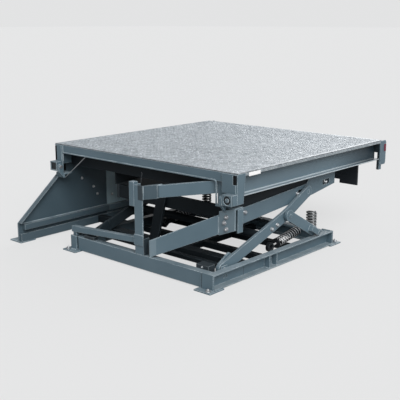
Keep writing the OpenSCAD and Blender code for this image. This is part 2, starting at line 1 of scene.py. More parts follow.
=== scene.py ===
import bpy
import json
import math
from mathutils import Matrix, Vector


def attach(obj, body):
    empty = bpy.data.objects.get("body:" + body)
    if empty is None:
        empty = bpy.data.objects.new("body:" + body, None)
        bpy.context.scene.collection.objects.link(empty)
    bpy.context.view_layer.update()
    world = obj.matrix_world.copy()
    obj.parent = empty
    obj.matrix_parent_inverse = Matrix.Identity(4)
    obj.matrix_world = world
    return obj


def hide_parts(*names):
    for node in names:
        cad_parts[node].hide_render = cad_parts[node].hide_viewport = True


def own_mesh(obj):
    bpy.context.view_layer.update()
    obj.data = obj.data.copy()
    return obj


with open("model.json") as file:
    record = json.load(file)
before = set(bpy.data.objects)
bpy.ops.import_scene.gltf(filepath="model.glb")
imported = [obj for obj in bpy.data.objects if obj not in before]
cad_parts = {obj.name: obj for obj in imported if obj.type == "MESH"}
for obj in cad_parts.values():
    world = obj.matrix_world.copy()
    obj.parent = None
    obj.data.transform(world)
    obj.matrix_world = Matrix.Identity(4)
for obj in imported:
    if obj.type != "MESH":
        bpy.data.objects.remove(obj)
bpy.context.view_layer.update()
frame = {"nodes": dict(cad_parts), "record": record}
nodes = frame["nodes"]
mm = 0.001
originShift = Vector((1.050, -1.1335, 0))  # from the layout corner to the row frame
deckWidth = 2000
baseWidth = 1520
print("frame loaded,", len(nodes), "nodes")


def at(x, y, z):  # layout millimetres to row metres
    return Vector((x * mm, y * mm, z * mm)) + originShift


def clearSelection():
    bpy.ops.object.select_all(action="DESELECT")


# studio

studio = {
    "floorSize": 400,
    "seenGlow": 0.63,  # pale floor as the camera sees it, before its own light and shade
    "seenTint": (1.0, 1.005, 1.01),
    "floorShade": 0.14,  # how much light and shadow shows on the floor
    "bounce": 0.42,  # floor colour for the light it throws back
    "skyStrength": 0.34,
    "skySeen": 0.765,
    "lampHigh": 6,
    "keyStrength": 2.9,
    "keyAim": (-0.72, 0.46, -0.75),
    "keySoftness": 46,
    "backStrength": 1.6,
    "backAim": (0.12, -0.93, -0.38),
    "backSoftness": 60,
    "cameraPlace": (3153, -3618, 1805),
    "cameraAim": (-0.6476, 0.7259, -0.2317),
    "lens": 67.6,
    "sensor": 36,
    "farClip": 500,
}


def addSun(name, aim, softness, strength):
    clearSelection()
    bpy.ops.object.light_add(type="SUN", location=(0, 0, studio["lampHigh"]))
    lamp = bpy.context.object
    lamp.name = name
    lamp.data.energy = strength
    lamp.data.angle = math.radians(softness)
    lamp.rotation_euler = Vector(aim).to_track_quat("-Z", "Y").to_euler()


def floorPaint():
    paint = bpy.data.materials.new("studioFloorPaint")
    paint.use_nodes = True
    tree = paint.node_tree
    tree.nodes.clear()
    out = tree.nodes.new("ShaderNodeOutputMaterial")
    ray = tree.nodes.new("ShaderNodeLightPath")
    mix = tree.nodes.new("ShaderNodeMixShader")
    add = tree.nodes.new("ShaderNodeAddShader")
    glow = tree.nodes.new("ShaderNodeEmission")
    glow.inputs["Color"].default_value = (*studio["seenTint"], 1)
    glow.inputs["Strength"].default_value = studio["seenGlow"]
    shade = tree.nodes.new("ShaderNodeBsdfDiffuse")
    shade.inputs["Color"].default_value = (studio["floorShade"],) * 3 + (1,)
    bounce = tree.nodes.new("ShaderNodeBsdfDiffuse")
    bounce.inputs["Color"].default_value = (studio["bounce"],) * 3 + (1,)
    tree.links.new(glow.outputs[0], add.inputs[0])
    tree.links.new(shade.outputs[0], add.inputs[1])
    tree.links.new(ray.outputs["Is Camera Ray"], mix.inputs[0])
    tree.links.new(bounce.outputs[0], mix.inputs[1])
    tree.links.new(add.outputs[0], mix.inputs[2])
    tree.links.new(mix.outputs[0], out.inputs["Surface"])
    return paint


def makeStudio():
    clearSelection()
    bpy.ops.mesh.primitive_plane_add(size=studio["floorSize"], location=(0, 0, 0))
    floor = bpy.context.object
    floor.name = "studioFloor"
    floor.data.materials.append(floorPaint())
    world = bpy.data.worlds.new("studioWorld")
    world.use_nodes = True
    tree = world.node_tree
    back = tree.nodes["Background"]
    back.inputs["Color"].default_value = (*studio["seenTint"], 1)
    ray = tree.nodes.new("ShaderNodeLightPath")
    level = tree.nodes.new("ShaderNodeMapRange")
    level.inputs["To Min"].default_value = studio["skyStrength"]
    level.inputs["To Max"].default_value = studio["skySeen"]
    tree.links.new(ray.outputs["Is Camera Ray"], level.inputs["Value"])
    tree.links.new(level.outputs[0], back.inputs["Strength"])
    bpy.context.scene.world = world
    addSun("keySun", studio["keyAim"], studio["keySoftness"], studio["keyStrength"])
    addSun("backSun", studio["backAim"], studio["backSoftness"], studio["backStrength"])
    clearSelection()
    bpy.ops.object.camera_add(location=at(*studio["cameraPlace"]))
    camera = bpy.context.object
    camera.name = "photoCamera"
    camera.rotation_euler = Vector(studio["cameraAim"]).to_track_quat("-Z", "Y").to_euler()
    camera.data.sensor_width = studio["sensor"]
    camera.data.lens = studio["lens"]
    camera.data.clip_end = studio["farClip"]
    scene = bpy.context.scene
    scene.camera = camera
    scene.view_settings.view_transform = "Standard"


makeStudio()
print("studio ready")

# shared surface effects

surface = {
    "bevelSamples": 4,
    "edgeTurn": (0.005, 0.10),  # turn of the normal that counts as an edge
    "edgeBreaks": (0.25, 0.6),
    "edgeDetail": 3,
    "patchRange": (0.3, 0.7),
    "patchShare": 0.75,  # the rest is grain
    "patchDetail": 4,
    "grainDetail": 2,
    "dustPatch": 9.0,
    "dustBreaks": (0.2, 0.75),
    "dustDetail": 5,
    "dustSlope": (0.3, 1.0),  # dust lies on faces that look up, and its colour also stands for painted light there
    "glintRange": (0.84, 0.94),  # only a few cells carry a painted glint
    "wireRange": (0.0, 0.7),  # from the middle of a spring's wire to its outer side, where a painted highlight lies
    "bumpDepth": 0.0006,
}


def newGroup(name, ins, outs):
    group = bpy.data.node_groups.new(name, "ShaderNodeTree")
    for label, value in ins.items():
        socket = group.interface.new_socket(label, in_out="INPUT", socket_type="NodeSocketFloat")
        socket.default_value = value
    for label in outs:
        group.interface.new_socket(label, in_out="OUTPUT", socket_type="NodeSocketFloat")
    return group, group.nodes.new("NodeGroupInput"), group.nodes.new("NodeGroupOutput")


def mathNode(tree, operation, first, second, clamped=True):
    node = tree.nodes.new("ShaderNodeMath")
    node.operation = operation
    node.use_clamp = clamped
    for socket, value in zip(node.inputs, (first, second)):
        if isinstance(value, (int, float)):
            socket.default_value = value
        else:
            tree.links.new(value, socket)
    return node.outputs[0]


def plainMath(tree, operation, first, second):
    return mathNode(tree, operation, first, second, False)


def noiseNode(tree, scale, detail, coords):
    node = tree.nodes.new("ShaderNodeTexNoise")
    tree.links.new(scale, node.inputs["Scale"])
    node.inputs["Detail"].default_value = detail
    tree.links.new(coords, node.inputs["Vector"])
    return node.outputs[0]


def rangeNode(tree, value, limits):
    node = tree.nodes.new("ShaderNodeMapRange")
    node.inputs["From Min"].default_value = limits[0]
    node.inputs["From Max"].default_value = limits[1]
    tree.links.new(value, node.inputs["Value"])
    return node.outputs[0]


# lighter worn edges, which also serve as a painted highlight along every edge
def makeEdgeWearAndHighlight():
    group, start, end = newGroup("edgeWearAndHighlight", {"Radius": 0.003, "Breakup": 14.0}, ["Mask"])
    rounded = group.nodes.new("ShaderNodeBevel")
    rounded.samples = surface["bevelSamples"]
    group.links.new(start.outputs["Radius"], rounded.inputs["Radius"])
    shape = group.nodes.new("ShaderNodeNewGeometry")
    dot = group.nodes.new("ShaderNodeVectorMath")
    dot.operation = "DOT_PRODUCT"
    group.links.new(rounded.outputs[0], dot.inputs[0])
    group.links.new(shape.outputs["Normal"], dot.inputs[1])
    turn = mathNode(group, "SUBTRACT", 1.0, dot.outputs["Value"])
    edge = rangeNode(group, turn, surface["edgeTurn"])
    coords = group.nodes.new("ShaderNodeTexCoord").outputs["Object"]
    spots = noiseNode(group, start.outputs["Breakup"], surface["edgeDetail"], coords)
    patch = rangeNode(group, spots, surface["edgeBreaks"])
    group.links.new(mathNode(group, "MULTIPLY", edge, patch), end.inputs["Mask"])
    return group


def makePaintField():
    group, start, end = newGroup("paintField", {"Patch": 3.0, "Grain": 160.0}, ["Tone", "Height"])
    coords = group.nodes.new("ShaderNodeTexCoord").outputs["Object"]
    wide = noiseNode(group, start.outputs["Patch"], surface["patchDetail"], coords)
    fine = noiseNode(group, start.outputs["Grain"], surface["grainDetail"], coords)
    share = surface["patchShare"]
    patch = mathNode(group, "MULTIPLY", rangeNode(group, wide, surface["patchRange"]), share)
    speck = mathNode(group, "MULTIPLY", fine, 1 - share)
    group.links.new(mathNode(group, "ADD", patch, speck), end.inputs["Tone"])
    group.links.new(fine, end.inputs["Height"])
    return group


# dust on faces that look up, light enough to stand also as painted light on top faces
def makeDustAndTopLight():
    group, start, end = newGroup("dustFilm", {"Patch": surface["dustPatch"], "Amount": 0.3}, ["Mask"])
    shape = group.nodes.new("ShaderNodeNewGeometry")
    parts = group.nodes.new("ShaderNodeSeparateXYZ")
    group.links.new(shape.outputs["Normal"], parts.inputs[0])
    coords = group.nodes.new("ShaderNodeTexCoord").outputs["Object"]
    spots = noiseNode(group, start.outputs["Patch"], surface["dustDetail"], coords)
    patch = rangeNode(group, spots, surface["dustBreaks"])
    upper = rangeNode(group, parts.outputs["Z"], surface["dustSlope"])
    film = mathNode(group, "MULTIPLY", upper, patch)
    group.links.new(mathNode(group, "MULTIPLY", film, start.outputs["Amount"]), end.inputs["Mask"])
    return group


def makeZone():  # soft-edged block of space on the piece, for painted shade, painted light and other marks that keep to one place
    sides = {"Low X": -9.0, "High X": 9.0, "Low Y": -9.0, "High Y": 9.0, "Low Z": -9.0, "High Z": 9.0}
    group, start, end = newGroup("zoneShade", {**sides, "Soft": 0.001, "Amount": 1.0}, ["Mask"])
    parts = group.nodes.new("ShaderNodeSeparateXYZ")
    group.links.new(group.nodes.new("ShaderNodeTexCoord").outputs["Object"], parts.inputs[0])
    mask = start.outputs["Amount"]
    for axis in "XYZ":
        for side, turned in (("Low ", False), ("High ", True)):
            ramp = group.nodes.new("ShaderNodeMapRange")
            ramp.interpolation_type = "SMOOTHSTEP"
            limit = start.outputs[side + axis]
            group.links.new(parts.outputs[axis], ramp.inputs["Value"])
            for socket, operation in (("From Min", "SUBTRACT"), ("From Max", "ADD")):
                reach = plainMath(group, operation, limit, start.outputs["Soft"])
                group.links.new(reach, ramp.inputs[socket])
            ramp.inputs["To Min"].default_value = float(turned)
            ramp.inputs["To Max"].default_value = float(not turned)
            mask = plainMath(group, "MULTIPLY", mask, ramp.outputs[0])
    group.links.new(mask, end.inputs["Mask"])
    return group


def makeSpeckle():  # painted light: each raised mark is tinted as if it caught the light a little differently, and a few get a painted glint
    group, start, end = newGroup("treadSpeckle", {"Cell": 28.0, "Depth": 0.5}, ["Tone", "Glint"])
    cells = group.nodes.new("ShaderNodeTexVoronoi")
    group.links.new(group.nodes.new("ShaderNodeTexCoord").outputs["Object"], cells.inputs["Vector"])
    group.links.new(start.outputs["Cell"], cells.inputs["Scale"])
    parts = group.nodes.new("ShaderNodeSeparateColor")
    group.links.new(cells.outputs["Color"], parts.inputs[0])
    tone = plainMath(group, "MULTIPLY", parts.outputs[0], start.outputs["Depth"])
    group.links.new(tone, end.inputs["Tone"])
    group.links.new(rangeNode(group, parts.outputs[1], surface["glintRange"]), end.inputs["Glint"])
    return group


edgeWearAndHighlight = makeEdgeWearAndHighlight()
paintField = makePaintField()
dustFilm = makeDustAndTopLight()
zoneShade = makeZone()
treadSpeckle = makeSpeckle()


def placeGroup(tree, group, values):
    node = tree.nodes.new("ShaderNodeGroup")
    node.node_tree = group
    for label, value in values.items():
        node.inputs[label].default_value = value
    return node


def mixColour(tree, factor, first, second):
    node = tree.nodes.new("ShaderNodeMix")
    node.data_type = "RGBA"
    tree.links.new(factor, node.inputs[0])
    for socket, value in ((node.inputs[6], first), (node.inputs[7], second)):  # the two colour inputs
        if isinstance(value, tuple):
            socket.default_value = (*value, 1)
        else:
            tree.links.new(value, socket)
    return node.outputs[2]  # the colour output


def finishColour(tree, look, field):
    # the edge colour is worn paint and also a painted edge highlight
    wornAndHighlitEdges = placeGroup(tree, edgeWearAndHighlight, {"Radius": look["edgeRadius"], "Breakup": look["breakup"]})
    # dust and painted light on faces that look up
    dust = placeGroup(tree, dustFilm, {"Patch": surface["dustPatch"], "Amount": look["dust"]})
    colour = mixColour(tree, field.outputs["Tone"], look["dark"], look["light"])
    colour = mixColour(tree, dust.outputs["Mask"], colour, look["dustColour"])
    colour = mixColour(tree, wornAndHighlitEdges.outputs["Mask"], colour, look["edge"])
    if look["speckle"]:
        # painted light on the tread: marks tinted as if lit differently, then painted glints
        marks = placeGroup(tree, treadSpeckle, {"Cell": look["speckle"], "Depth": look["speckleDepth"]})
        colour = mixColour(tree, marks.outputs["Tone"], colour, look["speckleColour"])
        sparks = placeGroup(tree, treadSpeckle, {"Cell": look["glint"]})
        colour = mixColour(tree, sparks.outputs["Glint"], colour, look["glintColour"])
    # painted highlight on the outer side of each spring wire
    if look["wireLight"]:
        side = tree.nodes.new("ShaderNodeAttribute")
        side.attribute_name = "wireSide"
        outer = rangeNode(tree, side.outputs["Fac"], surface["wireRange"])
        colour = mixColour(tree, outer, colour, look["wireLight"])
    for place, tint in look["zones"]:
        shade = placeGroup(tree, zoneShade, place)
        colour = mixColour(tree, shade.outputs["Mask"], colour, tint)
    return colour


def makeFinish(name, look):
    paint = bpy.data.materials.new(name)
    paint.use_nodes = True
    tree = paint.node_tree
    shader = tree.nodes["Principled BSDF"]
    field = placeGroup(tree, paintField, {"Patch": look["patch"], "Grain": look["grain"]})
    tree.links.new(finishColour(tree, look, field), shader.inputs["Base Color"])
    rough = tree.nodes.new("ShaderNodeMapRange")
    rough.inputs["To Min"].default_value = look["rough"][0]
    rough.inputs["To Max"].default_value = look["rough"][1]
    tree.links.new(field.outputs["Tone"], rough.inputs["Value"])
    tree.links.new(rough.outputs[0], shader.inputs["Roughness"])
    bump = tree.nodes.new("ShaderNodeBump")
    bump.inputs["Strength"].default_value = look["bump"]
    bump.inputs["Distance"].default_value = surface["bumpDepth"]
    tree.links.new(field.outputs["Height"], bump.inputs["Height"])
    rounded = tree.nodes.new("ShaderNodeBevel")
    rounded.samples = surface["bevelSamples"]
    rounded.inputs["Radius"].default_value = look["edgeRadius"]
    tree.links.new(rounded.outputs[0], bump.inputs["Normal"])
    tree.links.new(bump.outputs[0], shader.inputs["Normal"])
    shader.inputs["Metallic"].default_value = look["metal"]
    shader.inputs["Specular IOR Level"].default_value = look["gloss"]
    return paint


# near black: painted shade in most zones, and also the joint in the floor beam's web and the arm's sleeve
darkTint = (0.006, 0.010, 0.013)


def zone(low, high, soft, amount, tint=darkTint):  # block of space in layout millimetres
    low, high = at(*low), at(*high)
    sides = {}
    for k, axis in enumerate("XYZ"):
        sides["Low " + axis], sides["High " + axis] = low[k], high[k]
    return {**sides, "Soft": soft * mm, "Amount": amount}, tint


# the dust colour stands for dust and also for painted light on faces that look up
# the edge colour stands for worn edges and also for a painted edge highlight
paintLook = {
    "dark": (0.082, 0.132, 0.165), "light": (0.112, 0.168, 0.205), "edge": (0.52, 0.60, 0.64),
    "dustColour": (0.32, 0.37, 0.40), "dust": 0.6, "patch": 2.6, "grain": 210.0, "edgeRadius": 0.006,
    "breakup": 11.0, "rough": (0.36, 0.5), "bump": 0.08, "metal": 0.0, "gloss": 0.45, "speckle": 0,
    "zones": [], "wireLight": None,
}
finishLooks = {
    "slate_paint": {},
    "dark_paint": {
        "dark": (0.008, 0.012, 0.015), "light": (0.015, 0.021, 0.026), "edge": (0.07, 0.09, 0.105),
        "dustColour": (0.035, 0.045, 0.052), "dust": 0.3, "breakup": 8.0, "gloss": 0.15, "rough": (0.5, 0.65),
    },
    "black_paint": {
        "dark": (0.014, 0.018, 0.022), "light": (0.024, 0.029, 0.034), "edge": (0.10, 0.11, 0.12),
        "dustColour": (0.05, 0.055, 0.06), "dust": 0.25, "rough": (0.4, 0.55), "gloss": 0.3,
    },
    "tread_plate": {
        "dark": (0.36, 0.405, 0.44), "light": (0.47, 0.515, 0.55), "edge": (0.62, 0.65, 0.68),
        "dustColour": (0.40, 0.42, 0.44), "dust": 0.3, "patch": 1.7, "grain": 320.0, "rough": (0.30, 0.46),
        "bump": 0.25, "metal": 0.35, "speckle": 34.0, "speckleDepth": 0.75,
        "speckleColour": (0.19, 0.22, 0.25), "glint": 125.0, "glintColour": (0.70, 0.74, 0.78),
    },
    "bare_steel": {
        "dark": (0.34, 0.36, 0.38), "light": (0.48, 0.50, 0.52), "edge": (0.68, 0.70, 0.72), "dust": 0.1,
        "dustColour": (0.25, 0.24, 0.23), "patch": 12.0, "rough": (0.28, 0.45), "metal": 0.8,
    },
    "spring_steel": {
        "dark": (0.006, 0.007, 0.008), "light": (0.014, 0.015, 0.016), "edge": (0.25, 0.26, 0.27),
        "dustColour": (0.05, 0.05, 0.05), "dust": 0.0, "patch": 16.0, "edgeRadius": 0.001,
        "rough": (0.24, 0.36), "wireLight": (0.62, 0.64, 0.66), "metal": 0.2,
    },
}


def finish(name, base, **changes):
    return makeFinish(name, {**paintLook, **finishLooks[base], **changes})


finishes = {slot: finish(slot, slot) for slot in finishLooks}
whitePlate = finish("barePlate", "slate_paint", dark=(0.94, 0.94, 0.94), light=(0.98, 0.98, 0.98), dust=0.0,
                    edge=(0.99, 0.99, 0.99), rough=(0.3, 0.42))
redGlass = finish("redReflector", "slate_paint", dark=(0.12, 0.006, 0.022), light=(0.18, 0.010, 0.036),
                  edge=(0.30, 0.04, 0.05), dust=0.1, grain=420.0, bump=0.4, rough=(0.15, 0.25))
edgeBar = finish("edgeBar", "tread_plate", dark=(0.22, 0.26, 0.28), light=(0.36, 0.41, 0.43), metal=0.0,
                 glintColour=(0.42, 0.46, 0.48))
boxPaint = finish("boxPaint", "black_paint", dark=(0.020, 0.027, 0.033), light=(0.034, 0.044, 0.052),
                  edge=(0.20, 0.24, 0.26))
lipPaint = finish("lipPaint", "black_paint", dark=(0.022, 0.028, 0.036), light=(0.034, 0.041, 0.050))
bufferWire = finish("bufferWire", "spring_steel", wireLight=(0.20, 0.21, 0.22))
# black, for the rubber seal and for the sheets of painted shade in the corner slots
blackRubberAndShade = finish("blackRubberAndShade", "black_paint", dark=(0.006, 0.007, 0.008), light=(0.010, 0.011, 0.013), dust=0.05,
                edge=(0.02, 0.022, 0.025), gloss=0.1, rough=(0.6, 0.75))

# painted shade, painted light and a few other marks that keep to one place

# light tint for painted highlights on the side channel
highlightTint = (0.60, 0.67, 0.71)
zones = {  # two corners, soft edge, amount, tint
    "inner": zone((-2200, -200, 0), (-480, 2600, 900), 160, 0.9),  # painted shade on the far half of the linkage, under the deck
    "nearPaintedLight": zone((-400, -200, 200), (400, 1900, 1200), 250, 0.15,
                      (0.30, 0.37, 0.41)),  # painted light on the sunlit side channel
    "webFoot": zone((-68, 300, 627), (-42, 2290, 629), 0.6, 0.75, highlightTint),  # painted highlight along the foot of its web
    "farSide": zone((-2000, 1960, -2000), (2000, 4500, 4000), 480, 0.9,
                    (0.004, 0.012, 0.020)),  # painted shade on the side channel towards the lip
    "flangeEdge": zone((-8.8, 300, 619), (-7.2, 2290, 629), 0.4, 0.6, highlightTint),  # painted highlight on the edge of its lower flange
    "endPane": zone((-100, 2280, 610), (-9, 2300, 900), 1, 0.9),  # painted shade on the rear face of the end plates
    "cheekFoot": zone((-100, 2270, 400), (-8.6, 2420, 611), 0.5, 0.85),  # painted shade on the feet of the end plates
    "blockFloor": zone((-2100, 244.5, 500), (100, 247.5, 800), 0.6, 0.97),  # painted shade on the floors of the hinge recesses
    "leverFloor": zone((-125, 400, 300), (-116, 2000, 600), 0.8, 0.85),  # painted shade on the floors of the lever grooves
    "sideDim": zone((-1995, -300, -50), (-1900, 1400, 900), 3, 0.42),  # side frame, away from the light
    "panelPaintedLight": zone((-1984, 845, 160), (-1950, 1300, 640), 1.5, 0.9, (0.40, 0.54, 0.60)),  # painted light on the inner faces of the side panels
    "flange": zone((-100, 0, 10), (20, 1700, 19.5), 0.8, 0.3, (0.26, 0.31, 0.33)),  # dust and painted light on the lower flange of the floor beam
    "beamTop": zone((-100, 0, 118), (20, 1700, 125), 0.8, 0.16, (0.42, 0.48, 0.52)),  # painted light on its top
    "webSeam": zone((-54, 443, 18), (-44, 449, 112), 0.8, 0.6),  # joint in its web
    "collar": zone((-684, 50, 500), (-560, 125, 700), 3, 0.45),  # sleeve at the post end of the arm
    "beamGap": zone((-684, 50, 110), (-630, 125, 250), 2, 0.85),  # shadow gap beside the post
    "postGap": zone((-737, 50, 535), (-683, 125, 652), 2, 0.75),  # shadow gap beside the post box
    "beamEnd": zone((-631, 0, 80), (-578, 200, 320), 1.5, 0.22,
                    (0.34, 0.41, 0.45)),  # end plate of the low beam
    "bracketLight": zone((-160, 280, 300), (0, 303, 560), 3, 0.3, (0.26, 0.33, 0.37)),  # bracket face, made lighter
    "plateRight": zone((-2.5, 200, 700), (20, 2500, 791), 0.6, 0.3),  # painted shade on the right cut edge of the deck plate
    # painted shade on the rear cut edge of the deck plate
    "plateRear": zone((-2100, 290, 700), (20, 304.5, 791), 0.6, 0.6),
    "eyeRod": zone((-210, 984, 70), (-170, 1026, 130), 2, 0.9,
                   (0.8, 0.8, 0.8)),  # painted light, near white, on the rod by the spring eye
}
zonedNodes = {
    "slateInner": (["lift_arms", "struts", "strut_shaft", "lift_pins", "arm_lugs", "base_left_beam"],
                   ["inner"]),
    "slateFar": (["right_channel", "front_header"], ["nearPaintedLight", "webFoot", "farSide", "flangeEdge"]),
    "slateEnd": (["end_plates"], ["endPane", "cheekFoot"]),
    "slateBlock": (["hinge_blocks"], ["blockFloor"]),
    "slateLever": (["levers"], ["inner", "leverFloor"]),
    "slateSide": (["side_plate", "side_bars", "side_rail"], ["sideDim"]),
    "slatePanel": (["side_panel"], ["panelPaintedLight"]),
    "slateFlange": (["base_right_beam"], ["flange", "beamTop", "webSeam"]),
    "slateArm": (["top_arm"], ["collar"]),
    "slatePost": (["middle_post", "lower_beam"], ["beamGap", "postGap", "beamEnd"]),
    "slateBracket": (["hinge_bracket"], ["bracketLight"]),
    "treadEdge": (["deck_plate"], ["plateRight", "plateRear"]),
    "blackEye": (["spring_anchors"], ["eyeRod"]),
}
bases = {"treadEdge": "tread_plate", "blackEye": "black_paint"}  # the others start from slate_paint


def coat(piece, paint):
    piece.data.materials.clear()
    piece.data.materials.append(paint)


for part in frame["record"]["subparts"]:
    coat(nodes[part["node"]], finishes[part["material_slot"]])
for name, (places, wanted) in zonedNodes.items():
    paint = finish(name, bases.get(name, "slate_paint"), zones=[zones[k] for k in wanted])
    for place in places:
        coat(nodes[place], paint)
for place, paint in (("lip_plate", lipPaint), ("control_boxes", boxPaint)):
    coat(nodes[place], paint)
print("finishes on", len(nodes), "nodes")

# hand tools

flatLimit = 0.9  # a normal this steep counts as facing up or down


def selectOnly(piece):
    clearSelection()
    piece.select_set(True)
    bpy.context.view_layer.objects.active = piece


def backToObject():
    bpy.ops.object.mode_set(mode="OBJECT")


def settle(piece, name):  # place, turn and size go into the mesh
    selectOnly(piece)
    bpy.ops.object.transform_apply(location=True, rotation=True, scale=True)
    piece.name = name
    piece.data.name = name
    return piece


def soften(piece, width, segments=2):
    selectOnly(piece)
    bevel = piece.modifiers.new("softEdge", "BEVEL")
    bevel.width = width * mm
    bevel.segments = segments
    bevel.limit_method = "ANGLE"
    bpy.ops.object.modifier_apply(modifier=bevel.name)
    return piece


def smooth(piece, angle):
    selectOnly(piece)
    bpy.ops.object.shade_smooth_by_angle(angle=math.radians(angle))
    return piece


def facesUp(normal):
    return normal.z > flatLimit


def facesDown(normal):
    return normal.z < -flatLimit


def pickFaces(piece, rule):  # stays in edit mode with the chosen faces selected
    selectOnly(piece)
    bpy.ops.object.mode_set(mode="EDIT")
    bpy.ops.mesh.select_mode(type="FACE")
    bpy.ops.mesh.select_all(action="DESELECT")
    backToObject()
    for face in piece.data.polygons:
        face.select = rule(face.normal)
    bpy.ops.object.mode_set(mode="EDIT")


def copyPiece(piece, name, place):
    twin = piece.copy()
    twin.data = piece.data.copy()
    twin.data.transform(place)
    twin.name = name
    bpy.context.collection.objects.link(twin)
    return twin


def repeatPiece(piece, count, step):
    selectOnly(piece)
    array = piece.modifiers.new("repeat", "ARRAY")
    array.count = count
    array.use_relative_offset = False
    array.use_constant_offset = True
    array.constant_offset_displace = step
    bpy.ops.object.modifier_apply(modifier=array.name)


def joinPieces(name, pieces):
    clearSelection()
    for piece in pieces:
        piece.select_set(True)
    bpy.context.view_layer.objects.active = pieces[0]
    if len(pieces) > 1:
        bpy.ops.object.join()
    joined = bpy.context.object
    joined.name = name
    joined.data.name = name
    return joined


def dress(piece, body, paint):
    coat(piece, paint)
    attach(piece, body)


def boxPiece(name, low, high, soft):
    low, high = at(*low), at(*high)
    clearSelection()
    bpy.ops.mesh.primitive_cube_add(size=1, location=(low + high) / 2, scale=high - low)
    return soften(settle(bpy.context.object, name), soft)


def mirrored(x, width):
    return -width - x


# tread pattern: raised lozenges in two turned rows

treadLook = {"pitch": 38, "long": 13, "wide": 4.2, "high": 1.8, "shrink": 0.62, "sides": 6, "turn": 45,
             "top": 792, "left": -1994, "right": -2, "rear": 308, "front": 2298}


def modelLozenge():
    look = treadLook
    clearSelection()
    bpy.ops.mesh.primitive_cylinder_add(vertices=look["sides"], radius=1, depth=1, location=(0, 0, 0.5),
                                        rotation=(0, 0, math.pi / 2))
    lozenge = settle(bpy.context.object, "lozenge")
    pickFaces(lozenge, facesDown)
    bpy.ops.mesh.delete(type="FACE")
    backToObject()
    pickFaces(lozenge, facesUp)
    bpy.ops.transform.resize(value=(look["shrink"], look["shrink"], 1))
    backToObject()
    lozenge.data.transform(Matrix.Diagonal((look["long"] * mm, look["wide"] * mm, look["high"] * mm, 1)))
    return lozenge


def treadField(lozenge, name, turn, shift):
    look = treadLook
    pitch = look["pitch"]
    start = at(look["left"] + pitch / 2 + shift[0], look["rear"] + pitch / 2 + shift[1], look["top"])
    row = copyPiece(lozenge, name, Matrix.Translation(start) @ Matrix.Rotation(math.radians(turn), 4, "Z"))
    across = int((look["right"] - look["left"] - shift[0]) / pitch)
    along = int((look["front"] - look["rear"] - shift[1]) / pitch)
    repeatPiece(row, across, (pitch * mm, 0, 0))
    repeatPiece(row, along, (0, pitch * mm, 0))
    return row


def makeTread():
    lozenge = modelLozenge()
    turn, half = treadLook["turn"], treadLook["pitch"] / 2
    rows = [
        treadField(lozenge, "treadA", turn, (0, 0)),
        treadField(lozenge, "treadB", -turn, (half, 0)),
        treadField(lozenge, "treadC", -turn, (0, half)),
        treadField(lozenge, "treadD", turn, (half, half)),
    ]
    bpy.data.objects.remove(lozenge)
    dress(joinPieces("treadLozenges", rows), "deck", finishes["tread_plate"])


makeTread()
print("tread pattern laid")

# springs

coilLook = {"wireSides": 10, "capSides": 12, "steps": 22, "merge": 0.00001, "smooth": 40}
springLook = {"x": -190, "start": (949, 85), "end": (1359, 150.5), "eyeRod": 92, "shaft": 12, "coil": 33,
              "wire": 5, "turns": 11, "keep": 0.53}
bufferLook = {"x": -181, "y": 1512, "z": 120, "coil": 37, "wire": 8.5, "turns": 6, "high": 159}


def modelCoil(name, look, length):  # stands on z = 0, flat ends closed
    coil, wire, turns = look["coil"], look["wire"], look["turns"]
    clearSelection()
    bpy.ops.mesh.primitive_circle_add(vertices=coilLook["wireSides"], radius=wire * mm, fill_type="NOTHING",
                                      location=(coil * mm, 0, wire * mm), rotation=(math.pi / 2, 0, 0))
    spring = settle(bpy.context.object, name)
    screw = spring.modifiers.new("winding", "SCREW")
    screw.axis = "Z"
    screw.angle = 2 * math.pi
    screw.screw_offset = (length - 2 * wire) * mm / turns
    screw.iterations = turns
    screw.steps = coilLook["steps"]
    screw.render_steps = coilLook["steps"]
    bpy.ops.object.modifier_apply(modifier=screw.name)
    bpy.ops.object.mode_set(mode="EDIT")
    bpy.ops.mesh.select_all(action="SELECT")
    bpy.ops.mesh.remove_doubles(threshold=coilLook["merge"])
    bpy.ops.mesh.fill_holes(sides=coilLook["capSides"])
    bpy.ops.mesh.normals_make_consistent(inside=False)
    backToObject()
    side = spring.data.attributes.new("wireSide", "FLOAT", "POINT")  # -1 inside the coil, 1 outside
    for k, point in enumerate(spring.data.vertices):
        side.data[k].value = (math.hypot(point.co.x, point.co.y) / mm - coil) / wire
    return smooth(spring, coilLook["smooth"])


def bothSides(x):  # the right spring's place and the left one's
    return ("Right", x), ("Left", mirrored(x, baseWidth))


def makeMainSprings():
    look = springLook
    foot, head = Vector((0, *look["start"])), Vector((0, *look["end"]))
    along = (head - foot).normalized()
    length = (head - foot).length - look["eyeRod"] - look["shaft"]
    coil = modelCoil("springMaster", look, length)
    turn = Vector((0, 0, 1)).rotation_difference(along).to_matrix().to_4x4()
    for label, x in bothSides(look["x"]):
        seat = at(x, *look["start"]) + along * look["eyeRod"] * mm
        spring = copyPiece(coil, "mainSpring" + label, Matrix.Translation(seat) @ turn)
        dress(spring, "base", finishes["spring_steel"])
        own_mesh(spring)
        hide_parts("main_springs")
    bpy.data.objects.remove(coil)


def makeBufferSprings():
    look = bufferLook
    coil = modelCoil("bufferMaster", look, look["high"])
    for label, x in bothSides(look["x"]):
        spring = copyPiece(coil, "bufferSpring" + label, Matrix.Translation(at(x, look["y"], look["z"])))
        dress(spring, "base", bufferWire)
        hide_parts("buffer_springs")
    bpy.data.objects.remove(coil)


makeMainSprings()
makeBufferSprings()
print("springs wound")

# bolts

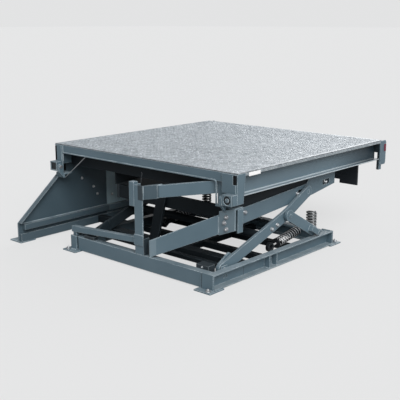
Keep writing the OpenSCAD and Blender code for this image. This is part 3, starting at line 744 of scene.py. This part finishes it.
boltLook = {"across": 24, "head": 10, "headSides": 6, "inset": 2, "crown": 1.2, "smooth": 30,
            "washer": 17, "washerThick": 3, "washerSides": 20, "washerSoft": 0.8,
            "stud": 7, "studHigh": 7, "studSides": 12, "studSoft": 1.2}
boltSets = {  # body, way it faces, size, places
    "footBolts": ("base", "up", 1.1, [(-24, 25, 10), (-24, 1640, 10), (-1526, 25, 10), (-1526, 1640, 10),
                                      (-2066, -50, 10), (-2066, 1125, 10)]),
    "bracketBolts": ("base", "rear", 1.0, [(-85, 290, 472), (-103, 290, 429), (-84, 290, 385)]),
    "leverBolts": ("deck", "right", 1.0, [(-104, 519, 463), (-104, 1178, 488)]),
    "windowBolt": ("deck", "right", 1.1, [(-120, 1600, 517)]),
    "armBolts": ("lift_arm", "right", 1.0, [(-72, 807, 282), (-72, 874, 300)]),
    "panelBolts": ("base", "right", 0.8, [(-1990, 569, 447), (-1990, 698, 351), (-1990, 741, 276),
                                          (-1982, 910, 245), (-1982, 997, 217)]),
    "recessBolts": ("deck", "rear", 0.45, [(-50, 246, 612), (-36, 246, 600)]),
    "boxBolt": ("base", "rear", 0.55, [(-161, 120, 133)]),
}
turns = {
    "up": Matrix.Identity(4),
    "rear": Matrix.Rotation(math.pi / 2, 4, "X"),
    "right": Matrix.Rotation(math.pi / 2, 4, "Y"),
}


def boltStep(name, sides, radius, low, high):
    clearSelection()
    bpy.ops.mesh.primitive_cylinder_add(vertices=sides, radius=radius * mm, depth=(high - low) * mm,
                                        location=(0, 0, (low + high) / 2 * mm))
    return settle(bpy.context.object, name)


def modelBolt():
    look = boltLook
    under = look["washerThick"]
    top = under + look["head"]
    washer = boltStep("washer", look["washerSides"], look["washer"], 0, under)
    soften(washer, look["washerSoft"], segments=1)
    head = boltStep("head", look["headSides"], look["across"] / math.sqrt(3), under, top)
    pickFaces(head, facesUp)
    bpy.ops.mesh.inset(thickness=look["inset"] * mm)
    bpy.ops.transform.translate(value=(0, 0, look["crown"] * mm))
    backToObject()
    stud = boltStep("stud", look["studSides"], look["stud"], top, top + look["studHigh"])
    soften(stud, look["studSoft"], segments=1)
    return smooth(joinPieces("boltMaster", [washer, head, stud]), look["smooth"])


def placeBolts(master, name, body, facing, size, points):
    copies = []
    for k, point in enumerate(points):
        place = Matrix.Translation(at(*point)) @ turns[facing] @ Matrix.Scale(size, 4)
        copies.append(copyPiece(master, name + str(k), place))
    dress(joinPieces(name, copies), body, finishes["bare_steel"])


def makeBolts():
    master = modelBolt()
    for name, boltSet in boltSets.items():
        placeBolts(master, name, *boltSet)
    bpy.data.objects.remove(master)


makeBolts()
print("bolts set")

# weld beads

weldLook = {"size": 4.6, "step": 6.5, "rounds": 2, "flat": 0.6, "crown": 0.5, "smooth": 60}
weldLines = {
    "base": [
        ((-1988.5, -80, 158), (-1988.5, 845, 158)),  # side ledge
        ((-681, 62, 546), (-681, 62, 640)),  # arm to post
        ((-155, 289, 352), (-155, 289, 468)),  # lower beam to bracket
        ((-58, 49, 11), (-2, 49, 11)),  # end plates to feet
        ((-1518, 49, 11), (-1462, 49, 11)),
        ((-58, 1566, 11), (-2, 1566, 11)),
        ((-200, 329, 546), (-136, 329, 546)),  # upright to seat
        ((-115, 289.5, 508), (-115, 289.5, 540)),  # ear to bracket
    ],
    "deck": [
        ((-132, 301, 650), (-132, 301, 780)),  # corner plates to header
        ((-1899, 301, 650), (-1899, 301, 780)),
    ],
}


def modelDrop():
    look = weldLook
    clearSelection()
    bpy.ops.mesh.primitive_ico_sphere_add(subdivisions=look["rounds"], radius=look["size"] * mm,
                                          location=(0, 0, 0))
    drop = settle(bpy.context.object, "weldDrop")
    pickFaces(drop, lambda normal: normal.z > look["crown"])
    bpy.ops.transform.resize(value=(1, 1, look["flat"]))
    backToObject()
    return drop


def weldRun(drop, name, start, end):
    start, end = at(*start), at(*end)
    step = (end - start).normalized() * weldLook["step"] * mm
    run = copyPiece(drop, name, Matrix.Translation(start))
    repeatPiece(run, int((end - start).length / step.length) + 1, step)
    return run


def makeWelds():
    drop = modelDrop()
    for body, lines in weldLines.items():
        runs = [weldRun(drop, body + "Weld" + str(k), *line) for k, line in enumerate(lines)]
        beads = smooth(joinPieces(body + "Welds", runs), weldLook["smooth"])
        dress(beads, body, finishes["slate_paint"])
    bpy.data.objects.remove(drop)


makeWelds()
print("welds laid")

# thin rods

rodLook = {
    "stay": [(-1611, 306, 716), (-1888, 306, 508)], "stayRadius": 3.2, "staySides": 12,
    "hook": [(-714, 70, 644), (-706, 70, 700), (-698, 70, 734), (-705, 70, 743)], "hookRadius": 2.6,
    "hookSides": 8, "chamfer": 0.25,  # share of the radius
    "smooth": 35,
}


def rodPiece(name, start, end, radius, sides):  # round bar between two points, ends chamfered
    start, end = at(*start), at(*end)
    along = end - start
    clearSelection()
    bpy.ops.mesh.primitive_cylinder_add(vertices=sides, radius=radius * mm, depth=along.length,
                                        location=(start + end) / 2,
                                        rotation=along.to_track_quat("Z", "Y").to_euler())
    rod = soften(settle(bpy.context.object, name), radius * rodLook["chamfer"], segments=1)
    return smooth(rod, rodLook["smooth"])


def makeRods():
    look = rodLook
    stay = rodPiece("stayRod", *look["stay"], look["stayRadius"], look["staySides"])
    dress(stay, "deck", finishes["bare_steel"])
    bends = [rodPiece("hookPart" + str(k), *ends, look["hookRadius"], look["hookSides"])
             for k, ends in enumerate(zip(look["hook"], look["hook"][1:]))]
    dress(joinPieces("postHook", bends), "base", finishes["black_paint"])


makeRods()
print("rods hung")

# flat bars under the side edges of the deck

barLook = {"inner": -7.9, "outer": -0.2, "rear": 392, "front": 2291, "low": 764, "high": 783.8, "soft": 1.2}


def makeEdgeBars():
    look = barLook
    sides = {
        "edgeBarRight": (look["inner"], look["outer"]),
        "edgeBarLeft": (mirrored(look["outer"], deckWidth), mirrored(look["inner"], deckWidth)),
    }
    for name, (left, right) in sides.items():
        low = (left, look["rear"], look["low"])
        high = (right, look["front"], look["high"])
        dress(boxPiece(name, low, high, look["soft"]), "deck", edgeBar)


makeEdgeBars()
print("edge bars fixed")

# plates, markers, a rubber seal and black sheets of painted shade

trims = {  # body, finish, softness of the edges, two corners
    "barePlate": ("deck", whitePlate, 0.6, (-0.1, 427, 755), (1.6, 561, 783)),
    "sideReflector": ("deck", redGlass, 1.5, (0, 2356, 686), (4, 2389, 750)),
    "rightSlotShade": ("deck", blackRubberAndShade, 0.8, (-31.5, 291.5, 706), (-8.5, 309, 771.5)),  # black sheets of painted shade in the corner slots
    "leftSlotShade": ("deck", blackRubberAndShade, 0.8, (-1991.5, 291, 650), (-1968.5, 309, 771.5)),
    "edgeSeal": ("base", blackRubberAndShade, 0.8, (-1990, 366, 534), (-1985, 392, 611)),  # step of the side plate
}
for name, (body, paint, soft, low, high) in trims.items():
    dress(boxPiece(name, low, high, soft), body, paint)
print("markers and linings fixed")
